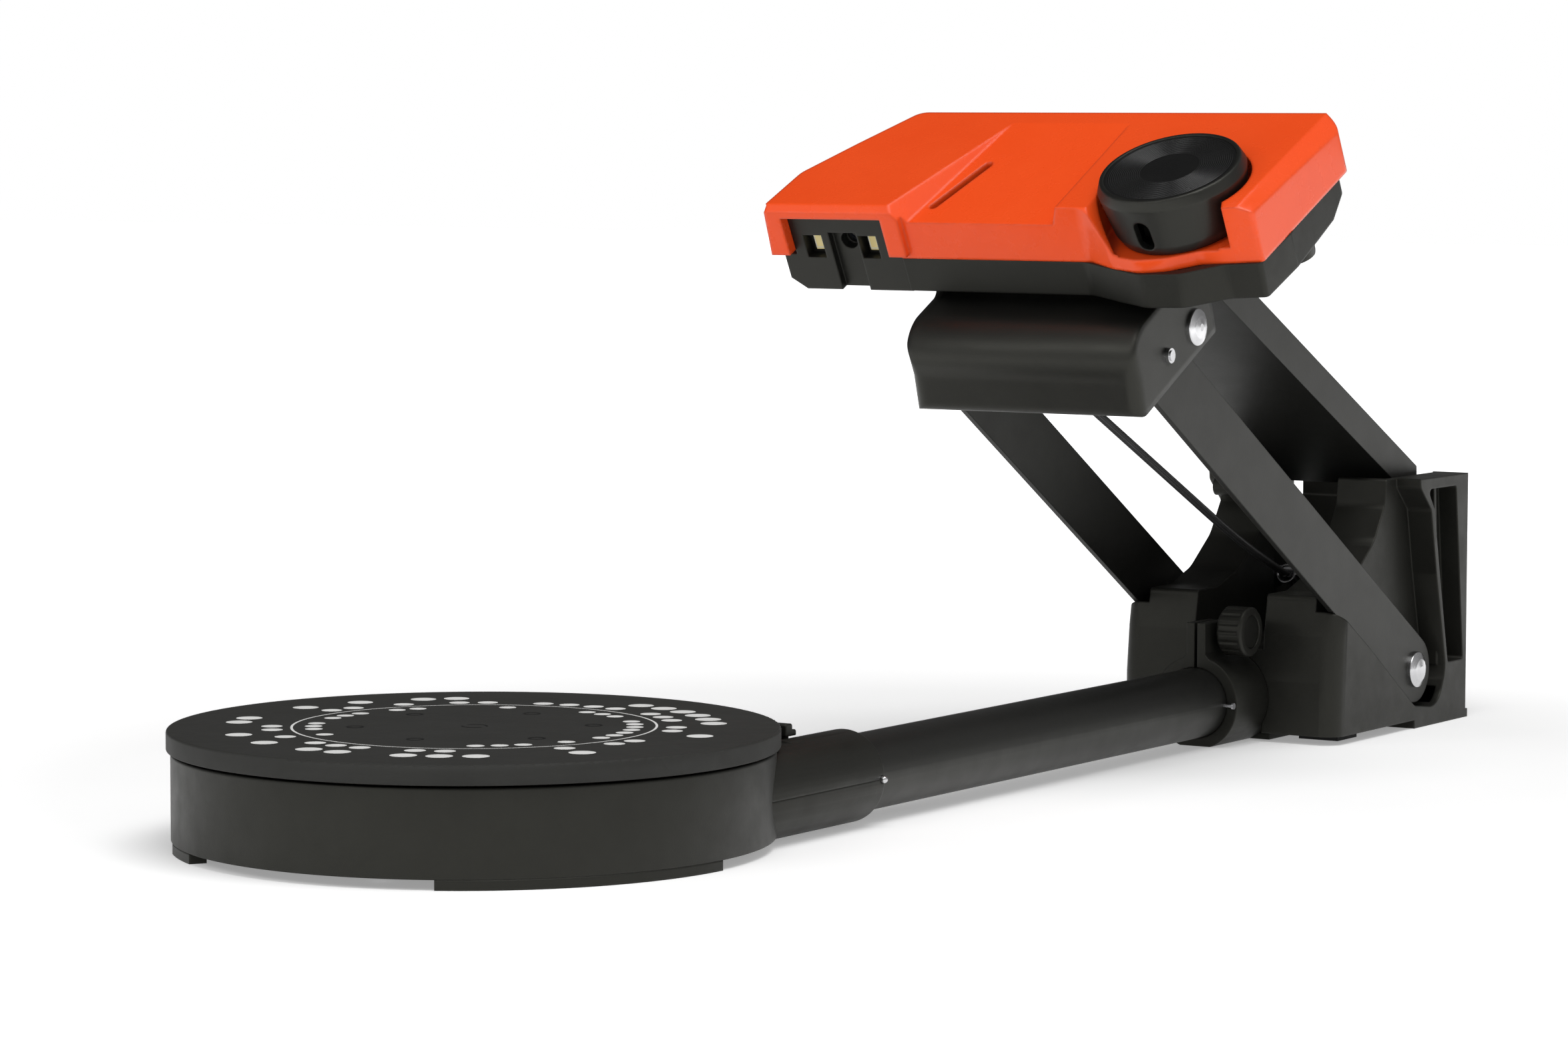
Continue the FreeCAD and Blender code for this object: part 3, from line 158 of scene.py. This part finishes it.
WARM = (1.0, 0.995, 0.88, 1.0)      # the blacks' sheen is slightly olive
FINISHES = {
    "black_shell": moulded("black_shell", srgb(24, 24, 22), srgb(26, 26, 24), 0.42, 0.50,
                           2600.0, 0.25, 0.0008, Specular_IOR_Level=0.33,
                           Specular_Tint=WARM),
    "black_satin": moulded("black_satin", srgb(17, 17, 16), srgb(19, 19, 18), 0.38, 0.44,
                           2200.0, 0.15, 0.0008, Specular_IOR_Level=0.40,
                           Specular_Tint=WARM),
    "bracket_satin": moulded("bracket_satin", srgb(18, 18, 17), srgb(20, 20, 19), 0.38, 0.42,
                             2400.0, 0.2, 0.0028, Specular_IOR_Level=0.42,
                             Specular_Tint=WARM),
    "orange_cover": moulded("orange_cover", srgb(232, 76, 26), srgb(235, 80, 30), 0.24, 0.30,
                            1800.0, 0.03, 0.0014, Specular_IOR_Level=0.18, Coat_Weight=0.32,
                            Coat_Roughness=0.05),
    "platter_black": moulded("platter_black", srgb(46, 46, 44), srgb(49, 49, 47), 0.56, 0.62,
                             3000.0, 0.3, Specular_IOR_Level=0.16),
    "tube_black": moulded("tube_black", srgb(19, 19, 19), srgb(21, 21, 21), 0.42, 0.48,
                          1600.0, 0.1, Specular_IOR_Level=0.48, Specular_Tint=WARM),
    "arm_black": moulded("arm_black", srgb(18, 18, 17), srgb(19, 19, 18), 0.40, 0.43,
                         1500.0, 0.2, 0.0004, Specular_IOR_Level=0.34, Specular_Tint=WARM),
    "rubber_feet": moulded("rubber_feet", srgb(26, 26, 26), srgb(32, 32, 32), 0.7, 0.85),
    "wheel_rubber": moulded("wheel_rubber", srgb(34, 34, 34), srgb(42, 42, 42), 0.7, 0.85),
    "chrome": metal("chrome", (0.62, 0.62, 0.63, 1), 0.18, 0.28),
    "steel": metal("steel", (0.58, 0.58, 0.6, 1), 0.25, 0.4),
    # A darkened copy of steel: painted shade for the eyelet, which sits in shadow.
    "steel_painted_shade": metal("steel_painted_shade", (0.16, 0.16, 0.16, 1), 0.25, 0.4),
    "bearing_bronze": metal("bearing_bronze", (0.6, 0.42, 0.2, 1), 0.35, 0.5),
    "bearing_plastic": moulded("bearing_plastic", srgb(200, 198, 190), srgb(190, 188, 180),
                               0.4, 0.55),
    "circuit_board": moulded("circuit_board", srgb(22, 62, 36), srgb(17, 50, 29), 0.3, 0.45),
    "lead_sheath": moulded("lead_sheath", srgb(18, 18, 18), srgb(24, 24, 24), 0.4, 0.5,
                           Specular_IOR_Level=0.4),
    "led_phosphor": moulded("led_phosphor", srgb(244, 226, 160), srgb(236, 214, 140), 0.3, 0.4),
    "dial_metal": moulded("dial_metal", srgb(17, 17, 17), srgb(19, 19, 19), 0.26, 0.32,
                          2600.0, 0.04, Specular_IOR_Level=0.45),
    "lens_glass": moulded("lens_glass", srgb(10, 12, 20), srgb(14, 16, 26), 0.03, 0.07,
                          900.0, 0.01, Coat_Weight=1.0, Coat_Roughness=0.02),
}


def turned_rings(finish, centre, axis, pitch, inner, outer):
    """Fine concentric grooves about an axis, between two radii."""
    tree = finish.tree
    link = tree.links.new

    def vector_math(operation, a, b=None):
        node = tree.nodes.new("ShaderNodeVectorMath")
        node.operation = operation
        link(a, node.inputs[0])
        if b is not None:
            node.inputs[1].default_value = b
        return node

    def math_node(operation, a, b=None):
        node = tree.nodes.new("ShaderNodeMath")
        node.operation = operation
        for socket, value in zip(node.inputs, (a, b)):
            if value is None:
                continue
            if isinstance(value, (int, float)):
                socket.default_value = value
            else:
                link(value, socket)
        return node.outputs[0]

    offset = vector_math("SUBTRACT", finish.coords.outputs["Object"], centre)
    across = vector_math("CROSS_PRODUCT", offset.outputs["Vector"], axis)
    radius = vector_math("LENGTH", across.outputs["Vector"]).outputs["Value"]
    wave = math_node("SINE", math_node("MULTIPLY", radius, 2.0 * math.pi / pitch))
    inside = math_node("MULTIPLY", math_node("GREATER_THAN", radius, inner),
                       math_node("LESS_THAN", radius, outer))
    return finish.add_bump(math_node("MULTIPLY", wave, inside), 0.9, 0.00012)


HEAD_PITCH = math.radians(28.0)
HEAD_LEVEL = (195.9, 162.5)     # lens level, Y and Z in the drawing


def in_head(x, back, up):
    """A position in the head's own axes as a row position."""
    return at(x, HEAD_LEVEL[0] + back * math.cos(HEAD_PITCH) - up * math.sin(HEAD_PITCH),
              HEAD_LEVEL[1] + back * math.sin(HEAD_PITCH) + up * math.cos(HEAD_PITCH))


DIAL_X, DIAL_BACK, DIAL_TOP = 46.8, 13.4, 20.6
DIAL_AXIS = (0.0, -math.sin(HEAD_PITCH), math.cos(HEAD_PITCH))
turned_rings(FINISHES["dial_metal"], in_head(DIAL_X, DIAL_BACK, DIAL_TOP), DIAL_AXIS,
             0.62 * MM, 9.0 * MM, 19.2 * MM)
MATS = {slot: finish.mat for slot, finish in FINISHES.items()}

SLOT_OF = {entry["node"]: entry["material_slot"] for entry in frame["record"]["subparts"]}
# Nodes with a look of their own within their slot; the eyelet gets steel darkened as painted
# shade.
LOOK_OF = {"bracket_housing": "bracket_satin", "lead_eyelet": "steel_painted_shade"}
for node_name, node_object in NODES.items():
    node_object.data.materials.clear()
    node_object.data.materials.append(MATS[LOOK_OF.get(node_name, SLOT_OF[node_name])])

# ---------------------------------------------------------------- soft edges
EDGES_MM = {
    "head_cover": 1.3, "head_lower_shell": 0.6, "base_housing": 0.9, "clamp_collar": 0.5,
    "bracket_housing": 0.5, "camera_bezel": 0.3, "arm_left": 0.25, "arm_right": 0.25,
    "turntable_shell": 0.4, "socket_upper": 0.3, "socket_lower": 0.3, "upper_link": 0.3,
    "platter": 0.4, "dial_body": 0.3, "clamp_knob": 0.25, "socket_latch": 0.3,
}


WELD_MM = 0.02                  # joins the facets' doubled vertices
FLAT_DEG = 0.6                  # facets closer than this are one flat face
SHARP_DEG = 28.0                # edges sharper than this are rounded


def soften(obj, width):
    """Rounds a CAD node's sharp edges for the eye; its own mesh stays as it is."""
    weld = obj.modifiers.new("weld", "WELD")
    weld.merge_threshold = WELD_MM * MM
    flat = obj.modifiers.new("flat", "DECIMATE")
    flat.decimate_type = "DISSOLVE"
    flat.angle_limit = math.radians(FLAT_DEG)
    bevel = obj.modifiers.new("bevel", "BEVEL")
    bevel.width = width * MM
    bevel.segments = 3
    bevel.limit_method = "ANGLE"
    bevel.angle_limit = math.radians(SHARP_DEG)
    bevel.use_clamp_overlap = True
    bevel.harden_normals = True


for node_name, width in EDGES_MM.items():
    soften(NODES[node_name], width)


# ---------------------------------------------------------------- printed marks
PLATTER_X, PLATTER_Y, PLATTER_TOP = -64.0, 0.0, 33.2
PRINT_STEPS = 43
PRINT_START = math.radians(4.7)
PRINT_LIFT = 0.06
INNER_DOTS = "1111110111000100011011101110100000001110101"
MIDDLE_DOTS = "0011011101111011010110000110101110110001011"
OUTER_DOTS = "0100111111000001101010011001010110111001000"


def mesh_object(name, vertices, faces, material, body):
    mesh = bpy.data.meshes.new(name)
    mesh.from_pydata([tuple(v) for v in vertices], [], faces)
    mesh.materials.append(material)
    obj = bpy.data.objects.new(name, mesh)
    bpy.context.scene.collection.objects.link(obj)
    if body:
        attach(obj, body)
    return obj


def disc(vertices, faces, centre, radius, lift, steps=28):
    """Adds a flat printed spot standing a hair above the platter."""
    base = len(vertices)
    for k in range(steps):
        turn = 2.0 * math.pi * k / steps
        vertices.append(at(centre[0] + radius * math.cos(turn),
                           centre[1] + radius * math.sin(turn), PLATTER_TOP + lift))
    faces.append(tuple(range(base, base + steps)))


def annulus(vertices, faces, centre, inner, outer, lift, steps=96, start=0.0, sweep=360.0):
    base = len(vertices)
    closed = sweep >= 360.0
    count = steps if closed else steps + 1
    for k in range(count):
        turn = math.radians(start + sweep * k / steps)
        for radius in (inner, outer):
            vertices.append(at(centre[0] + radius * math.cos(turn),
                               centre[1] + radius * math.sin(turn), PLATTER_TOP + lift))
    for k in range(steps):
        a = base + 2 * k
        b = base + 2 * ((k + 1) % count)
        faces.append((a, a + 1, b + 1, b))


ink = moulded("printed_white", srgb(236, 236, 234), srgb(226, 226, 224), 0.45, 0.6,
              3000.0, 0.1)
# Near-black material for painted shade on the platter.
shade = moulded("painted_recess_shade", srgb(9, 9, 9), srgb(12, 12, 12), 0.5, 0.6, 3000.0, 0.2,
                Specular_IOR_Level=0.2)
# Each ring of dots: which steps are printed, its radius and the dots' radius.
DOT_RINGS = ((INNER_DOTS, 44.5, 2.45), (MIDDLE_DOTS, 56.0, 2.95), (OUTER_DOTS, 66.5, 3.7))
PRINTED_RING = (50.15, 50.85)
PLATTER_MIDDLE = (PLATTER_X, PLATTER_Y)


def on_platter(radius, turn):
    return (PLATTER_X + radius * math.cos(turn), PLATTER_Y + radius * math.sin(turn))


dots_v, dots_f = [], []
for bits, ring_radius, dot in DOT_RINGS:
    for step, bit in enumerate(bits):
        if bit == "1":
            turn = PRINT_START + 2.0 * math.pi * step / PRINT_STEPS
            disc(dots_v, dots_f, on_platter(ring_radius, turn), dot, PRINT_LIFT)
annulus(dots_v, dots_f, PLATTER_MIDDLE, *PRINTED_RING, PRINT_LIFT)
marks = mesh_object("platter_print", dots_v, dots_f, ink.mat, "platter")

HUB_ARC = (3.2, 3.7)            # inner and outer radius of the two dark arcs of painted shade at the middle
HUB_ARC_STARTS = (20.0, 200.0)
HUB_ARC_SWEEP = 140.0
SHADE_RING_RADIUS = 33.0                # radius on which the six small dark rings of painted shade lie
SHADE_RING_START = 36.5
# inner and outer radius of each small ring of painted shade
SHADE_RING_RADII = (1.9, 2.5)

# Painted shade: two dark arcs at the middle and six dark rings on the platter.
shade_v, shade_f = [], []
for start in HUB_ARC_STARTS:
    annulus(shade_v, shade_f, PLATTER_MIDDLE, *HUB_ARC, PRINT_LIFT, 40, start, HUB_ARC_SWEEP)
for k in range(6):
    spot = on_platter(SHADE_RING_RADIUS, math.radians(SHADE_RING_START + 60.0 * k))
    annulus(shade_v, shade_f, spot, *SHADE_RING_RADII, PRINT_LIFT, 28)
recess_shade = mesh_object("platter_painted_shade", shade_v, shade_f, shade.mat, "platter")


# ---------------------------------------------------------------- lead to the head
LEAD_FOOT = (353.3, 52.67)      # its eyelet, Y and Z in the drawing
LEAD_TILT = math.radians(24.7)
LEAD_ROUTE = ((0.0, 0.0), (24.9, -2.53), (95.0, -1.28), (166.3, 0.0))
LEAD_X, STRAND_R = 8.4, 0.85


def lead_strand(name, x):
    """One of the lead's two strands, drawn tight between the eyelet and the bracket."""
    curve = bpy.data.curves.new(name, "CURVE")
    curve.dimensions = "3D"
    curve.bevel_depth = STRAND_R * MM
    curve.bevel_resolution = 5
    curve.use_fill_caps = True
    spline = curve.splines.new("NURBS")
    spline.points.add(len(LEAD_ROUTE) - 1)
    for point, (along, lift) in zip(spline.points, LEAD_ROUTE):
        spot = at(x, LEAD_FOOT[0] - along * math.cos(LEAD_TILT) + lift * math.sin(LEAD_TILT),
                  LEAD_FOOT[1] + along * math.sin(LEAD_TILT) + lift * math.cos(LEAD_TILT))
        point.co = (spot.x, spot.y, spot.z, 1.0)
    spline.order_u = 3
    spline.use_endpoint_u = True
    spline.resolution_u = 12
    curve.materials.append(MATS["lead_sheath"])
    obj = bpy.data.objects.new(name, curve)
    bpy.context.scene.collection.objects.link(obj)
    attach(obj, "lead")
    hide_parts("head_lead")


lead_strand("lead_strand_left", LEAD_X - STRAND_R)
lead_strand("lead_strand_right", LEAD_X + STRAND_R)


# ---------------------------------------------------------------- light emitters
EMITTER_HALF = (1.5, 2.85)      # half the width and height of an emitter
BORDER = 0.35
BORDER_BACK = (2.6, 2.85)       # the border's front and rear, behind the head's front
EMITTERS = (("emitter_border_left", -75.6), ("emitter_border_right", -56.0))


def emitter_border(name, x, material):
    """Thin raised border round a light emitter, which looks to the front of the head."""
    half_x, half_up = EMITTER_HALF
    vertices, faces = [], []
    corners = ((-1, -1), (1, -1), (1, 1), (-1, 1))
    for depth in BORDER_BACK:
        for inset in (0.0, BORDER):
            for sx, su in corners:
                vertices.append(in_head(x + sx * (half_x - inset), depth,
                                        su * (half_up - inset)))
    for k in range(4):
        j = (k + 1) % 4
        faces.append((k, j, 4 + j, 4 + k))
        faces.append((k, 8 + k, 8 + j, j))
        faces.append((4 + k, 4 + j, 12 + j, 12 + k))
        faces.append((8 + k, 12 + k, 12 + j, 8 + j))
    obj = mesh_object(name, vertices, faces, material, "head")


pale = moulded("emitter_border", srgb(232, 228, 210), srgb(222, 218, 200), 0.35, 0.45)
for name, x in EMITTERS:
    emitter_border(name, x, pale.mat)


# ---------------------------------------------------------------- stage
FLOOR_HALF = 6.0
NEAR_GLOW, FAR_GLOW = 0.3, 1.1
GLOW_FROM, GLOW_TO = 0.25, 0.8      # metres from the middle of the floor


def floor_plane():
    """Large white floor, glowing a little more far out so that it meets the backdrop."""
    mesh = bpy.data.meshes.new("floor")
    corners = [(sx * FLOOR_HALF, sy * FLOOR_HALF, 0) for sx, sy in ((-1, -1), (1, -1), (1, 1),
                                                                   (-1, 1))]
    mesh.from_pydata(corners, [], [(0, 1, 2, 3)])
    obj = bpy.data.objects.new("floor", mesh)
    bpy.context.scene.collection.objects.link(obj)
    finish = Finish("floor_white", (0.9, 0.9, 0.9, 1), 0.6)
    finish.vary_roughness(0.55, 0.65, 4.0)
    tree = finish.tree
    length = tree.nodes.new("ShaderNodeVectorMath")
    length.operation = "LENGTH"
    tree.links.new(finish.coords.outputs["Object"], length.inputs[0])
    glow = finish.ramp(length.outputs["Value"], NEAR_GLOW, FAR_GLOW, GLOW_FROM, GLOW_TO)
    finish.shader.inputs["Emission Color"].default_value = (1.0, 1.0, 1.0, 1.0)
    tree.links.new(glow, finish.shader.inputs["Emission Strength"])
    mesh.materials.append(finish.mat)


floor_plane()
bpy.context.scene.view_settings.view_transform = "Standard"
world = bpy.data.worlds.new("studio")
bpy.context.scene.world = world
world.use_nodes = True


BRIGHT_SIDE = (0.72, -0.62, 0.05)       # right and front
DIM, BRIGHT = 0.22, 0.4
DARK_FLAG = (-0.53, 0.40, 0.75)         # keeps the sheen off the sloping cover
FLAG_LEAVES = 0.15


def studio_world():
    """White backdrop; the light it gives is stronger from the right and front."""
    tree = world.node_tree
    coords = tree.nodes.new("ShaderNodeTexCoord")
    dot = tree.nodes.new("ShaderNodeVectorMath")
    dot.operation = "DOT_PRODUCT"
    dot.inputs[1].default_value = BRIGHT_SIDE
    ramp = tree.nodes.new("ShaderNodeMapRange")
    ramp.interpolation_type = "SMOOTHSTEP"
    ramp.inputs["From Min"].default_value = -0.5
    ramp.inputs["From Max"].default_value = 0.8
    ramp.inputs["To Min"].default_value = DIM
    ramp.inputs["To Max"].default_value = BRIGHT
    overhead = tree.nodes.new("ShaderNodeVectorMath")
    overhead.operation = "DOT_PRODUCT"
    overhead.inputs[1].default_value = DARK_FLAG
    flag = tree.nodes.new("ShaderNodeMapRange")
    flag.interpolation_type = "SMOOTHSTEP"
    flag.inputs["From Min"].default_value = 0.72
    flag.inputs["From Max"].default_value = 0.94
    flag.inputs["To Min"].default_value = 1.0
    flag.inputs["To Max"].default_value = FLAG_LEAVES
    shaded = tree.nodes.new("ShaderNodeMath")
    shaded.operation = "MULTIPLY"
    path = tree.nodes.new("ShaderNodeLightPath")
    seen = tree.nodes.new("ShaderNodeMix")
    seen.inputs["B"].default_value = 1.0
    background = tree.nodes["Background"]
    background.inputs["Color"].default_value = (1.0, 1.0, 1.0, 1.0)
    tree.links.new(coords.outputs["Generated"], dot.inputs[0])
    tree.links.new(dot.outputs["Value"], ramp.inputs["Value"])
    tree.links.new(path.outputs["Is Camera Ray"], seen.inputs["Factor"])
    tree.links.new(coords.outputs["Generated"], overhead.inputs[0])
    tree.links.new(overhead.outputs["Value"], flag.inputs["Value"])
    tree.links.new(ramp.outputs["Result"], shaded.inputs[0])
    tree.links.new(flag.outputs["Result"], shaded.inputs[1])
    tree.links.new(shaded.outputs["Value"], seen.inputs["A"])
    tree.links.new(seen.outputs["Result"], background.inputs["Strength"])


studio_world()


def area_light(name, position, target, size, power):
    data = bpy.data.lights.new(name, "AREA")
    data.shape = "RECTANGLE"
    data.size = size[0]
    data.size_y = size[1]
    data.energy = power
    obj = bpy.data.objects.new(name, data)
    bpy.context.scene.collection.objects.link(obj)
    obj.location = position
    direction = Vector(target) - Vector(position)
    obj.rotation_euler = direction.to_track_quat("-Z", "Y").to_euler()


area_light("side", (1.7, 0.2, 0.7), (0, 0.05, 0.1), (1.0, 1.2), 1.2)
area_light("top", (0.55, -0.35, 1.7), (0, 0, 0.1), (1.2, 1.0), 19.5)
area_light("front", (-0.3, -1.6, 1.2), (0, 0, 0.1), (0.8, 0.8), 5.5)
area_light("glint", (-0.85, -1.15, 0.68), (0, 0, 0.12), (0.35, 0.3), 1.6)

# ---------------------------------------------------------------- camera
CAMERA_AT = (753.9, -1133.3, 202.3)
CAMERA_YAW = 32.307
CAMERA_PITCH = 4.616
CAMERA_ROLL = 0.123
CAMERA_LENS = 116.37


def add_camera():
    data = bpy.data.cameras.new("camera")
    data.sensor_width = 36.0
    data.sensor_fit = "HORIZONTAL"
    data.lens = CAMERA_LENS
    data.clip_start = 0.05
    data.clip_end = 20.0
    obj = bpy.data.objects.new("camera", data)
    bpy.context.scene.collection.objects.link(obj)
    yaw = math.radians(CAMERA_YAW)
    pitch = math.radians(CAMERA_PITCH)
    roll = math.radians(CAMERA_ROLL)
    ahead = Vector((-math.sin(yaw) * math.cos(pitch), math.cos(yaw) * math.cos(pitch),
                    -math.sin(pitch)))
    right = Vector((math.cos(yaw), math.sin(yaw), 0.0))
    up = right.cross(ahead)
    side = right * math.cos(roll) + up * math.sin(roll)
    top = up * math.cos(roll) - right * math.sin(roll)
    basis = Matrix((side, top, -ahead)).transposed().to_4x4()
    basis.translation = at(*CAMERA_AT)
    obj.matrix_world = basis
    bpy.context.scene.camera = obj


add_camera()
